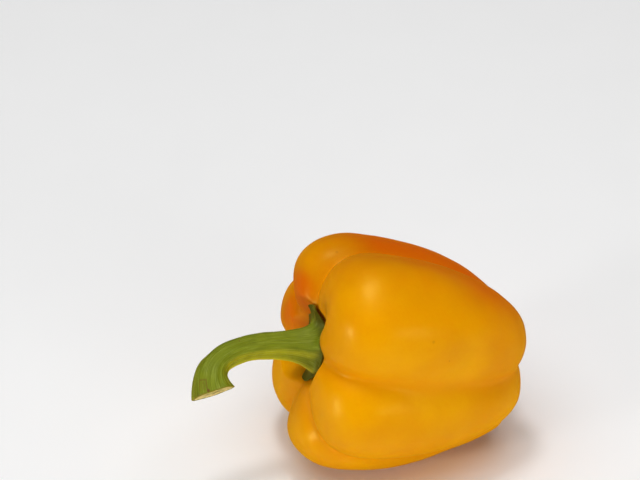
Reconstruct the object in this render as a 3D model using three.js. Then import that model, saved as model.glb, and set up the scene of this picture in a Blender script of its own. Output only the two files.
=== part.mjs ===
// A yellow bell pepper lying on its side: one grown fruit, and its stem with the calyx.
// Lengths are millimetres and +Z is up. The pepper rests on z = 0 with the stem towards -X,
// and the origin lies on that surface under the middle of the pepper's box.
//
// The shapes are made in the fruit's own frame, where z runs along the fruit's axis from the
// blossom end (negative) to the stem (positive), azimuth 0 is the front and 90 degrees the top.
import * as THREE from "three";

// How the fruit lies: its axis dips towards the blossom end, and it is rolled on its lower lobes.
const AXIS_DIP = 15.5;
const ROLL = -11.1;
// Depth that the resting spots are pressed flat.
const REST_PRESS = 0.4;

// The lobes, by azimuth. Reach is the widest radius and halfWidth the half width across it.
// The shoulder's crest is at crestRadius and crestHeight, the nose's tip at noseRadius and noseHeight,
// and noseShare is what the nose keeps of the widest section.
const LOBES = [
  {
    azimuth: 127, reach: 43.5, halfWidth: 15.5, crestRadius: 24.5, crestHeight: 42,
    noseRadius: 12, noseHeight: -40, noseShare: 0.75,
  },
  {
    azimuth: 53, reach: 43.5, halfWidth: 25.5, crestRadius: 19, crestHeight: 40,
    noseRadius: 12.5, noseHeight: -42, noseShare: 0.74,
  },
  {
    azimuth: 324, reach: 43, halfWidth: 20.5, crestRadius: 15, crestHeight: 39,
    noseRadius: 8, noseHeight: -44, noseShare: 0.7,
  },
  {
    azimuth: 277, reach: 45.5, halfWidth: 20, crestRadius: 29.5, crestHeight: 39,
    noseRadius: 19.5, noseHeight: -42.5, noseShare: 0.67,
  },
  {
    azimuth: 224, reach: 48.5, halfWidth: 21, crestRadius: 22.5, crestHeight: 41.5,
    noseRadius: 19, noseHeight: -44.5, noseShare: 0.74,
  },
  {
    azimuth: 174, reach: 42.5, halfWidth: 19, crestRadius: 25, crestHeight: 40.5,
    noseRadius: 14, noseHeight: -42, noseShare: 0.72,
  },
];
// Height of the widest section, and how the lobes' walls are shaped.
const WIDEST_HEIGHT = 17;
const WALL_SQUARENESS = 2.2;
const SHOULDER_SQUARENESS = 2.4;
const NOSE_SQUARENESS = 3.1;
const TAPER_SOFTNESS = 0.4;
const FARTHEST_WALL = 80;
const HALVINGS = 32;
const INNER_SHARE = 1.2;
const INNER_BLEND = 2.5;
// Rounding of the valleys between lobes, at the two ends and at the middle.
const VALLEY_AT_ENDS = 1.0;
const VALLEY_AT_MIDDLE = 2.6;
// The sharper crease along a valley's foot near the stem, and the difference in reach that it spans.
const CREASE_DEPTH = 2.5;
const CREASE_WIDTH = 4;
// The dish round the stem: its floor, its rise at the given angle from the axis, and its slope to the top.
const DISH_FLOOR = 33.3;
const DISH_RISE = 5;
const DISH_ANGLE = 22;
const DISH_POWER = 11;
const DISH_SLOPE = 0.12;
const DISH_BLEND = 1.7;
const DISH_STEEPEST = 0.15;
// The notch in the front lobe's shoulder.
const NOTCH = { azimuth: 59, fromAxis: 24, radius: 8, depth: 4.6 };

// The stem's middle line, as distances along the fruit's axis and towards the bend.
const BEND_AZIMUTH = 306;
const STEM_LINE = [
  [33, 0.6],
  [55, -0.4],
  [79, 3.5],
  [73, 20.4],
];
const STEM_RADIUS = 4.8;
const BASE_FLARE = 7.5;
const BASE_FLARE_LENGTH = 5.5;
const END_FLARE = 3.4;
const END_FLARE_LENGTH = 14;
const END_FLARE_POWER = 1.3;
const STEM_RIDGES = 5;
const RIDGE_SHARE = 0.05;
// The ridges stand out more towards the stem's foot.
const FOOT_RIDGE_SHARE = 0.1;
const FOOT_RIDGE_LENGTH = 7;
// The calyx: a thin plate lying in the dish, with a point for each entry of TOOTH_LENGTHS.
// An entry below 0 is a hollow in its edge.
const TOOTH_LENGTHS = [3.0, -1.6, 2.4, 2.2, 1.0, 1.6];
const FIRST_TOOTH_AZIMUTH = 90;
const TOOTH_SHARPNESS = 2;
const TOOTH_BLUNTNESS = 2;
const CALYX_RADIUS = 11.3;
const CALYX_THICKNESS = 1.3;
const CALYX_GAP = 0.5;
const CALYX_HEIGHT = 35;
// How far, in degrees, the calyx stands off the dish's steep wall.
const CALYX_LEAN = 0.6;
const UPPER_EDGE_SHARE = 0.98;
const COLLAR_HEIGHT = 6;
const COLLAR_FILLET = 1.0;
const COLLAR_STEP = 0.5;

// Mesh fineness.
const FRUIT_COLUMNS = 108;
const DISH_RINGS = 20;
const DISH_REACH = 40;
const WALL_RINGS = 34;
const STEM_COLUMNS = 48;
const CALYX_RINGS = 5;
const COLLAR_RINGS = 6;
const STEM_RINGS = 20;

const skin = new THREE.MeshStandardMaterial({ color: 0xe8a012, roughness: 0.3, metalness: 0 });
const green = new THREE.MeshStandardMaterial({ color: 0x6f8421, roughness: 0.6, metalness: 0 });

const radians = THREE.MathUtils.degToRad;
const axis = new THREE.Vector3(0, 0, 1);

function direction(azimuth, fromAxis) {
  return new THREE.Vector3(
    Math.sin(fromAxis) * Math.cos(azimuth),
    Math.sin(fromAxis) * Math.sin(azimuth),
    Math.cos(fromAxis),
  );
}

// 1 on a lobe's surface, less inside it and more outside.
function lobeGauge(point, lobe) {
  const turn = radians(lobe.azimuth);
  const out = point.x * Math.cos(turn) + point.y * Math.sin(turn);
  const across = point.y * Math.cos(turn) - point.x * Math.sin(turn);
  const below = WIDEST_HEIGHT - lobe.noseHeight;
  const descent = Math.max((WIDEST_HEIGHT - point.z) / below, 0);
  const narrowing =
    (Math.hypot(descent, TAPER_SOFTNESS) - TAPER_SOFTNESS) / (Math.hypot(1, TAPER_SOFTNESS) - TAPER_SOFTNESS);
  const share = 1 - (1 - lobe.noseShare) * narrowing;
  const climbed = (point.z - lobe.noseHeight) / (lobe.crestHeight - lobe.noseHeight);
  const climb = THREE.MathUtils.clamp(climbed, 0, 1);
  const middle = lobe.noseRadius + (lobe.crestRadius - lobe.noseRadius) * climb;
  const outer = lobe.reach * share - middle;
  const inner = INNER_SHARE * middle;
  const depth = inner + (outer - inner) / (1 + Math.exp((middle - out) / INNER_BLEND));
  const section =
    Math.abs((out - middle) / depth) ** WALL_SQUARENESS +
    Math.abs(across / (lobe.halfWidth * share)) ** WALL_SQUARENESS;
  const above = point.z > WIDEST_HEIGHT;
  const power = above ? SHOULDER_SQUARENESS : NOSE_SQUARENESS;
  const height = above ? lobe.crestHeight - WIDEST_HEIGHT : below;
  const rise = Math.abs(point.z - WIDEST_HEIGHT) / height;
  return (section ** (power / WALL_SQUARENESS) + rise ** power) ** (1 / power);
}

// Distance from the middle of the fruit to a lobe's surface, found by halving.
function lobeRadius(towards, lobe) {
  let low = 0;
  let high = FARTHEST_WALL;
  for (let step = 0; step < HALVINGS; step += 1) {
    const half = (low + high) / 2;
    if (lobeGauge(towards.clone().multiplyScalar(half), lobe) < 1) {
      low = half;
    } else {
      high = half;
    }
  }
  return (low + high) / 2;
}

// The largest of the values, rounded where two are close.
function softLargest(values, blend) {
  const largest = Math.max(...values);
  const sum = values.reduce((total, value) => total + Math.exp((value - largest) / blend), 0);
  return largest + blend * Math.log(sum);
}

function dishRadius(azimuth, fromAxis) {
  const floor = DISH_FLOOR + DISH_RISE * (fromAxis / radians(DISH_ANGLE)) ** DISH_POWER;
  const slope = DISH_SLOPE * Math.sin(fromAxis) * Math.sin(azimuth);
  return floor / Math.max(Math.cos(fromAxis) - slope, DISH_STEEPEST);
}

function notchDepth(towards) {
  const middle = direction(radians(NOTCH.azimuth), radians(NOTCH.fromAxis));
  const away = towards.angleTo(middle) / radians(NOTCH.radius);
  return NOTCH.depth * Math.exp(-(away ** 2));
}

// Distance from the middle of the fruit to its skin.
function skinRadius(azimuth, fromAxis) {
  const towards = direction(azimuth, fromAxis);
  const valley = VALLEY_AT_ENDS + (VALLEY_AT_MIDDLE - VALLEY_AT_ENDS) * Math.sin(fromAxis) ** 4;
  const reaches = LOBES.map((lobe) => lobeRadius(towards, lobe)).sort((a, b) => b - a);
  const apart = (reaches[0] - reaches[1]) / CREASE_WIDTH;
  const crease = CREASE_DEPTH * Math.exp(-(apart ** 2)) * Math.max(Math.cos(fromAxis), 0) ** 2;
  const body = softLargest(reaches, valley) - crease;
  return -softLargest([-body, -dishRadius(azimuth, fromAxis)], DISH_BLEND) - notchDepth(towards);
}

// A point of the fruit's skin, or at the given distance off it.
function skinPoint(azimuth, fromAxis, off = 0) {
  return direction(azimuth, fromAxis).multiplyScalar(skinRadius(azimuth, fromAxis) + off);
}

const stemLine = new THREE.CubicBezierCurve(
  ...STEM_LINE.map(([along, bend]) => new THREE.Vector2(along, bend)),
);
const stemLength = stemLine.getLength();

// A point of the stem's side at a distance along its middle line.
function stemPoint(azimuth, distance) {
  const share = distance / stemLength;
  const centre = stemLine.getPointAt(share);
  const heading = stemLine.getTangentAt(share);
  const bend = radians(BEND_AZIMUTH);
  const towardsBend = direction(bend, Math.PI / 2);
  const sideways = direction(bend + Math.PI / 2, Math.PI / 2);
  const inwards = axis.clone().multiplyScalar(-heading.y).addScaledVector(towardsBend, heading.x);
  const ending = Math.max(1 - (stemLength - distance) / END_FLARE_LENGTH, 0);
  const footFlare = BASE_FLARE * Math.exp(-distance / BASE_FLARE_LENGTH);
  const plain = STEM_RADIUS + footFlare + END_FLARE * ending ** END_FLARE_POWER;
  const ridge = Math.cos(STEM_RIDGES * (azimuth - radians(FIRST_TOOTH_AZIMUTH)));
  const ridgeShare = RIDGE_SHARE + FOOT_RIDGE_SHARE * Math.exp(-distance / FOOT_RIDGE_LENGTH);
  const radius = plain * (1 + ridgeShare * ridge);
  return axis
    .clone()
    .multiplyScalar(centre.x)
    .addScaledVector(towardsBend, centre.y)
    .addScaledVector(inwards, radius * Math.cos(azimuth - bend))
    .addScaledVector(sideways, radius * Math.sin(azimuth - bend));
}

// How far the calyx's edge stands out beyond CALYX_RADIUS.
function toothLength(azimuth) {
  const count = TOOTH_LENGTHS.length;
  const place = ((azimuth - radians(FIRST_TOOTH_AZIMUTH)) / (2 * Math.PI)) * count;
  const nearest = Math.round(place);
  const point = ((1 + Math.cos(2 * Math.PI * (place - nearest))) / 2) ** TOOTH_SHARPNESS;
  const blunt = Math.tanh(TOOTH_BLUNTNESS * point) / Math.tanh(TOOTH_BLUNTNESS);
  return TOOTH_LENGTHS[((nearest % count) + count) % count] * blunt;
}

// A point of the calyx's underside, at a share of the way from its middle to its edge.
function calyxUnderside(azimuth, share) {
  const tooth = toothLength(azimuth);
  const fromAxis = Math.atan2((CALYX_RADIUS + tooth) * share, CALYX_HEIGHT);
  const reach = skinRadius(azimuth, fromAxis + radians(CALYX_LEAN)) + CALYX_GAP;
  return direction(azimuth, fromAxis).multiplyScalar(reach);
}

// The sweep from the calyx's upper edge to the stem's side, which it meets without a kink.
function collarPoint(azimuth, share) {
  const edge = calyxUnderside(azimuth, UPPER_EDGE_SHARE).addScaledVector(axis, CALYX_THICKNESS);
  const side = stemPoint(azimuth, COLLAR_HEIGHT);
  const reach = Math.hypot(side.x, side.y) + COLLAR_FILLET;
  const floor = skinPoint(azimuth, Math.atan2(reach, CALYX_HEIGHT), CALYX_GAP + CALYX_THICKNESS);
  const ahead = stemPoint(azimuth, COLLAR_HEIGHT + COLLAR_STEP).sub(side);
  const corner = side.clone().addScaledVector(ahead, (floor.z - side.z) / ahead.z);
  return new THREE.QuadraticBezierCurve3(edge, corner, side).getPoint(share);
}

// A closed mesh from a first tip, rings of points, and a last tip.
function closedRings(firstTip, rings, lastTip) {
  const columns = rings[0].length;
  const points = [firstTip, ...rings.flat(), lastTip];
  const last = points.length - 1;
  const at = (row, column) => 1 + row * columns + (column % columns);
  const faces = [];
  for (let column = 0; column < columns; column += 1) {
    faces.push(0, at(0, column), at(0, column + 1));
    for (let row = 0; row < rings.length - 1; row += 1) {
      faces.push(at(row, column), at(row + 1, column), at(row + 1, column + 1));
      faces.push(at(row, column), at(row + 1, column + 1), at(row, column + 1));
    }
    faces.push(last, at(rings.length - 1, column + 1), at(rings.length - 1, column));
  }
  const geometry = new THREE.BufferGeometry().setFromPoints(points);
  geometry.setIndex(faces);
  return geometry;
}

// One ring of points, made by a function of the azimuth.
function ringOf(columns, pointAt) {
  return Array.from({ length: columns }, (_, column) => pointAt((2 * Math.PI * column) / columns));
}

function fruitGeometry() {
  const rings = [];
  const reach = radians(DISH_REACH);
  for (let step = 1; step <= DISH_RINGS; step += 1) {
    const fromAxis = (reach * step) / DISH_RINGS;
    rings.push(ringOf(FRUIT_COLUMNS, (azimuth) => skinPoint(azimuth, fromAxis)));
  }
  for (let step = 1; step < WALL_RINGS; step += 1) {
    const fromAxis = reach + ((Math.PI - reach) * step) / WALL_RINGS;
    rings.push(ringOf(FRUIT_COLUMNS, (azimuth) => skinPoint(azimuth, fromAxis)));
  }
  return closedRings(skinPoint(0, 0), rings, skinPoint(0, Math.PI));
}

function stemGeometry() {
  const rings = [];
  for (let step = 1; step <= CALYX_RINGS; step += 1) {
    rings.push(ringOf(STEM_COLUMNS, (azimuth) => calyxUnderside(azimuth, step / CALYX_RINGS)));
  }
  for (let step = 0; step <= COLLAR_RINGS; step += 1) {
    rings.push(ringOf(STEM_COLUMNS, (azimuth) => collarPoint(azimuth, step / COLLAR_RINGS)));
  }
  for (let step = 1; step <= STEM_RINGS; step += 1) {
    const distance = COLLAR_HEIGHT + ((stemLength - COLLAR_HEIGHT) * step) / STEM_RINGS;
    rings.push(ringOf(STEM_COLUMNS, (azimuth) => stemPoint(azimuth, distance)));
  }
  const cut = rings[rings.length - 1];
  const middle = cut.reduce((sum, point) => sum.add(point), new THREE.Vector3()).divideScalar(cut.length);
  // The rings run outwards under the calyx and on up the stem, so the faces are turned to point out.
  return closedRings(middle, rings.reverse(), skinPoint(0, 0, CALYX_GAP));
}

// Turns the fruit's frame to the way that it lies: the axis dips, then the fruit rolls about +X.
const lying = new THREE.Matrix4()
  .makeRotationX(radians(ROLL))
  .multiply(new THREE.Matrix4().makeRotationY(radians(AXIS_DIP)))
  .multiply(
    new THREE.Matrix4().makeBasis(
      new THREE.Vector3(0, -1, 0),
      new THREE.Vector3(0, 0, 1),
      new THREE.Vector3(-1, 0, 0),
    ),
  );

// Sets both shapes down together: on z = 0, pressed flat where they touch, over the box's middle.
function setDown(geometries) {
  const box = new THREE.Box3();
  for (const geometry of geometries) {
    geometry.applyMatrix4(lying);
    geometry.computeBoundingBox();
    box.union(geometry.boundingBox);
  }
  const centre = box.getCenter(new THREE.Vector3());
  for (const geometry of geometries) {
    geometry.translate(-centre.x, -centre.y, -box.min.z - REST_PRESS);
    const place = geometry.getAttribute("position");
    for (let index = 0; index < place.count; index += 1) {
      place.setZ(index, Math.max(place.getZ(index), 0));
    }
    geometry.computeVertexNormals();
  }
}

function part(name, geometry, material) {
  const mesh = new THREE.Mesh(geometry, material);
  mesh.name = name;
  return mesh;
}

const fruit = fruitGeometry();
const stem = stemGeometry();
setDown([fruit, stem]);

const pepper = new THREE.Group();
pepper.add(part("fruit", fruit, skin));
pepper.add(part("stem", stem, green));

export default pepper;
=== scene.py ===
"""A yellow bell pepper that lies on its side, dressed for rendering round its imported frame.

Sizes in the classes are millimetres in the fruit's own frame, where z runs along the fruit's axis from
the blossom end (negative) to the stem (positive), azimuth 0 is the front and 90 degrees the top.
Meshes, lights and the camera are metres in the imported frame, where +Z is up and the stem points to -X.
"""

import logging
import math
from dataclasses import dataclass
from enum import Enum

import bpy
import numpy as np
from mathutils import Matrix, Vector


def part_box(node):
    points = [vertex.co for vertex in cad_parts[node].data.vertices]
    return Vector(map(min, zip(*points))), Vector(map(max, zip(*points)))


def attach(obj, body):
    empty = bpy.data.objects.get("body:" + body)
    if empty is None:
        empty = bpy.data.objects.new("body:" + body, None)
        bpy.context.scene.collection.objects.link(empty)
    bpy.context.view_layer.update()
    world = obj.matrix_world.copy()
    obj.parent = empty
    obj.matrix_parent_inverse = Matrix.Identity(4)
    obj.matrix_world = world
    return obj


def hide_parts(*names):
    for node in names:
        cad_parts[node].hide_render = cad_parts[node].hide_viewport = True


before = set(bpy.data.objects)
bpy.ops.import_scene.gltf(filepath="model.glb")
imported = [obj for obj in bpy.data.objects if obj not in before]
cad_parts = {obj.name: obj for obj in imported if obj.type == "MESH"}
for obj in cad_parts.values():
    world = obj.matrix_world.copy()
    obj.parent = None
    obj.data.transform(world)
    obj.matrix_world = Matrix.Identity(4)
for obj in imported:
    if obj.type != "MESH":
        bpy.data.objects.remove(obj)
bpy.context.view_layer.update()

MM = 0.001
FULL_TURN = 2 * math.pi
BODY = "root"

log = logging.getLogger("pepper")

Socket = bpy.types.NodeSocket
Colour = tuple[float, float, float, float]
Pair = tuple[float, float]
TipValue = float | tuple[float, float, float]


class Slot(Enum):
    """The record's material slots."""

    SKIN = "skin"
    GREEN = "stem_green"


class MathStep(Enum):
    """What a Math node does with its two values."""

    ADD = "ADD"
    MULTIPLY = "MULTIPLY"
    LARGER = "MAXIMUM"


def pigment(red: int, green: int, blue: int) -> Colour:
    """A colour as Blender's sockets take it.

    Args:
        red: Red as a screen shows it, from 0 to 255.
        green: Green, likewise.
        blue: Blue, likewise.

    Returns:
        The linear colour, opaque.
    """
    shown = [value / 255 for value in (red, green, blue)]
    linear = [value / 12.92 if value <= 0.04045 else ((value + 0.055) / 1.055) ** 2.4 for value in shown]
    return (linear[0], linear[1], linear[2], 1.0)


def smooth_step(values: np.ndarray, low: float, high: float) -> np.ndarray:
    """Rises smoothly from 0 at low to 1 at high.

    Args:
        values: Any numbers.
        low: Where the rise starts.
        high: Where it ends. It may be less than low, and then the values fall.

    Returns:
        Numbers from 0 to 1.
    """
    share = np.clip((values - low) / (high - low), 0, 1)
    return share * share * (3 - 2 * share)


def direction(azimuth: np.ndarray, from_axis: np.ndarray) -> np.ndarray:
    """Unit vectors in the fruit's frame.

    Args:
        azimuth: Angles round the fruit's axis, in radians.
        from_axis: Angles from the axis's stem end, in radians.

    Returns:
        The vectors, with x, y and z along the last axis of the array.
    """
    across = np.sin(from_axis)
    return np.stack([across * np.cos(azimuth), across * np.sin(azimuth), np.cos(from_axis)], axis=-1)


def soft_largest(values: np.ndarray, blend: np.ndarray | float) -> np.ndarray:
    """The largest along the first axis, rounded where two are close.

    Args:
        values: The values to choose from.
        blend: How close two values are where the rounding starts.

    Returns:
        The rounded largest values.
    """
    largest = values.max(axis=0)
    return largest + blend * np.log(np.exp((values - largest) / blend).sum(axis=0))


def outward(rings: np.ndarray) -> np.ndarray:
    """Normals of a surface made of rings.

    Args:
        rings: Points as rings by columns by 3, with the columns turning with the azimuth.

    Returns:
        Unit normals of the same shape, out of the body.
    """
    along = np.gradient(rings, axis=0)
    round_ring = np.roll(rings, -1, axis=1) - np.roll(rings, 1, axis=1)
    normals = np.cross(along, round_ring)
    return normals / np.maximum(np.linalg.norm(normals, axis=-1, keepdims=True), 1e-9)


@dataclass(frozen=True)
class Waves:
    """Smooth seeded unevenness in space, from 0 to 1."""

    seed: int
    length: float
    count: int = 28

    def at(self, points: np.ndarray) -> np.ndarray:
        """The unevenness at some points.

        Args:
            points: Points in millimetres.

        Returns:
            One number from 0 to 1 for each point.
        """
        draw = np.random.default_rng(self.seed)
        total = np.zeros(points.shape[:-1])
        for _ in range(self.count):
            heading = draw.normal(size=3)
            length = self.length * draw.uniform(0.7, 1.5)
            phase = draw.uniform(0, FULL_TURN)
            total += np.cos(points @ (heading / np.linalg.norm(heading)) * (FULL_TURN / length) + phase)
        return 0.5 + 0.5 * np.tanh(total / math.sqrt(self.count))


@dataclass(frozen=True)
class Streaks:
    """Seeded lengthwise streaks that wander a little, from 0 to 1."""

    seed: int
    fewest: int
    most: int
    wander: float = 0.07
    wander_length: float = 9.0

    def at(self, azimuth: np.ndarray, distance: np.ndarray) -> np.ndarray:
        """The streaks at some places of the stem's side.

        Args:
            azimuth: Angles round the stem, in radians.
            distance: Distances along it, in millimetres.

        Returns:
            One number from 0 to 1 for each place.
        """
        draw = np.random.default_rng(self.seed)
        total = np.zeros(np.broadcast(azimuth, distance).shape)
        numbers = range(self.fewest, self.most + 1, 2)
        for number in numbers:
            phase, start = draw.uniform(0, FULL_TURN, 2)
            turned = azimuth + self.wander * np.sin(distance / self.wander_length + start)
            total = total + np.cos(number * turned + phase)
        return 0.5 + 0.5 * np.tanh(total / math.sqrt(len(numbers)))


@dataclass(frozen=True)
class Dent:
    """A shallow round hollow, in degrees on the fruit and millimetres deep."""

    azimuth: float
    from_axis: float
    radius: float
    depth: float

    def depths(self, towards: np.ndarray) -> np.ndarray:
        """How deep the hollow is.

        Args:
            towards: Unit vectors from the fruit's middle.

        Returns:
            The depth in each direction, in millimetres.
        """
        middle = direction(np.radians(self.azimuth), np.radians(self.from_axis))
        away = np.degrees(np.arccos(np.clip(towards @ middle, -1, 1))) / self.radius
        return self.depth * np.exp(-(away**2))


@dataclass(frozen=True)
class Lobe:
    """One swelling of the fruit.

    Reach is the widest radius and half_width the half width across it. The shoulder's crest is at
    crest_radius and crest_height, the nose's tip at nose_radius and nose_height, and nose_share is
    what the nose keeps of the widest section.
    """

    azimuth: float
    reach: float
    half_width: float
    crest_radius: float
    crest_height: float
    nose_radius: float
    nose_height: float
    nose_share: float


@dataclass(frozen=True)
class FruitForm:
    """The fruit's skin, as a distance from the fruit's middle in every direction."""

    lobes: tuple[Lobe, ...] = (
        Lobe(127, 43.5, 15.5, 24.5, 42, 12, -40, 0.75),
        Lobe(53, 43.5, 25.5, 19, 40, 12.5, -42, 0.74),
        Lobe(324, 43, 20.5, 15, 39, 8, -44, 0.7),
        Lobe(277, 45.5, 20, 29.5, 39, 19.5, -42.5, 0.67),
        Lobe(224, 48.5, 21, 22.5, 41.5, 19, -44.5, 0.74),
        Lobe(174, 42.5, 19, 25, 40.5, 14, -42, 0.72),
    )
    widest_height: float = 17
    wall_squareness: float = 2.2
    shoulder_squareness: float = 2.4
    nose_squareness: float = 3.1
    taper_softness: float = 0.4
    farthest_wall: float = 80
    halvings: int = 24
    inner_share: float = 1.2
    inner_blend: float = 2.5
    valley_at_ends: float = 1.0
    valley_at_middle: float = 2.6
    crease_depth: float = 2.5
    crease_width: float = 4
    dish_floor: float = 33.3
    dish_rise: float = 5
    dish_angle: float = 22
    dish_power: float = 11
    dish_slope: float = 0.12
    dish_blend: float = 1.7
    dish_steepest: float = 0.15
    dish_edge: float = 3.0
    notch: Dent = Dent(azimuth=59, from_axis=24, radius=8, depth=4.6)

    def gauge(self, points: np.ndarray, lobe: Lobe) -> np.ndarray:
        """Tells the inside of a lobe from its outside.

        Args:
            points: Points in millimetres.
            lobe: The lobe.

        Returns:
            For each point 1 on the lobe's surface, less inside it and more outside.
        """
        turn = math.radians(lobe.azimuth)
        x, y, z = points[..., 0], points[..., 1], points[..., 2]
        out = x * math.cos(turn) + y * math.sin(turn)
        across = y * math.cos(turn) - x * math.sin(turn)
        below = self.widest_height - lobe.nose_height
        descent = np.maximum((self.widest_height - z) / below, 0)
        soft = self.taper_softness
        narrowing = (np.hypot(descent, soft) - soft) / (math.hypot(1, soft) - soft)
        share = 1 - (1 - lobe.nose_share) * narrowing
        climb = np.clip((z - lobe.nose_height) / (lobe.crest_height - lobe.nose_height), 0, 1)
        middle = lobe.nose_radius + (lobe.crest_radius - lobe.nose_radius) * climb
        inner = self.inner_share * middle
        outer = lobe.reach * share - middle
        depth = inner + (outer - inner) / (1 + np.exp((middle - out) / self.inner_blend))
        power = self.wall_squareness
        width = lobe.half_width * share
        section = np.abs((out - middle) / depth) ** power + np.abs(across / width) ** power
        above = z > self.widest_height
        end_power = np.where(above, self.shoulder_squareness, self.nose_squareness)
        height = np.where(above, lobe.crest_height - self.widest_height, below)
        rise = np.abs(z - self.widest_height) / height
        return (section ** (end_power / power) + rise**end_power) ** (1 / end_power)

    def lobe_radius(self, towards: np.ndarray, lobe: Lobe) -> np.ndarray:
        """Distance from the fruit's middle to a lobe's surface, found by halving.

        Args:
            towards: Unit vectors from the fruit's middle.
            lobe: The lobe.

        Returns:
            The distances in millimetres.
        """
        low = np.zeros(towards.shape[:-1])
        high = np.full(towards.shape[:-1], self.farthest_wall)
        for _ in range(self.halvings):
            half = (low + high) / 2
            inside = self.gauge(towards * half[..., None], lobe) < 1
            low = np.where(inside, half, low)
            high = np.where(inside, high, half)
        return (low + high) / 2

    def dish_radius(self, azimuth: np.ndarray, from_axis: np.ndarray) -> np.ndarray:
        """Distance to the dish that the stem stands in.

        Args:
            azimuth: Angles round the axis, in radians.
            from_axis: Angles from the axis, in radians.

        Returns:
            The distances in millimetres.
        """
        bowl = (from_axis / math.radians(self.dish_angle)) ** self.dish_power
        floor = self.dish_floor + self.dish_rise * bowl
        slope = self.dish_slope * np.sin(from_axis) * np.sin(azimuth)
        return floor / np.maximum(np.cos(from_axis) - slope, self.dish_steepest)

    def skin(
        self, azimuth: np.ndarray, from_axis: np.ndarray, off: float = 0.0
    ) -> tuple[np.ndarray, np.ndarray, np.ndarray]:
        """The skin in some directions.

        Args:
            azimuth: Angles round the axis, in radians.
            from_axis: Angles from the axis, in radians.
            off: Distance off the skin, in millimetres.

        Returns:
            The points, how deep each lies in a valley between lobes (0 to 1), and how far into the
            stem's dish (0 to 1).
        """
        towards = direction(azimuth, from_axis)
        rounding = self.valley_at_middle - self.valley_at_ends
        blend = self.valley_at_ends + rounding * np.sin(from_axis) ** 4
        reaches = np.stack([self.lobe_radius(towards, lobe) for lobe in self.lobes])
        body = soft_largest(reaches, blend)
        ordered = np.sort(reaches, axis=0)
        valley = np.exp(-(((ordered[-1] - ordered[-2]) / self.crease_width) ** 2))
        body -= self.crease_depth * valley * np.maximum(np.cos(from_axis), 0) ** 2
        dish = self.dish_radius(azimuth, from_axis)
        dished = -soft_largest(np.stack([-body, -dish]), self.dish_blend)
        in_dish = smooth_step(body - dish, -self.dish_edge, self.dish_edge)
        radius = dished - self.notch.depths(towards) + off
        return towards * radius[..., None], valley, in_dish


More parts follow.
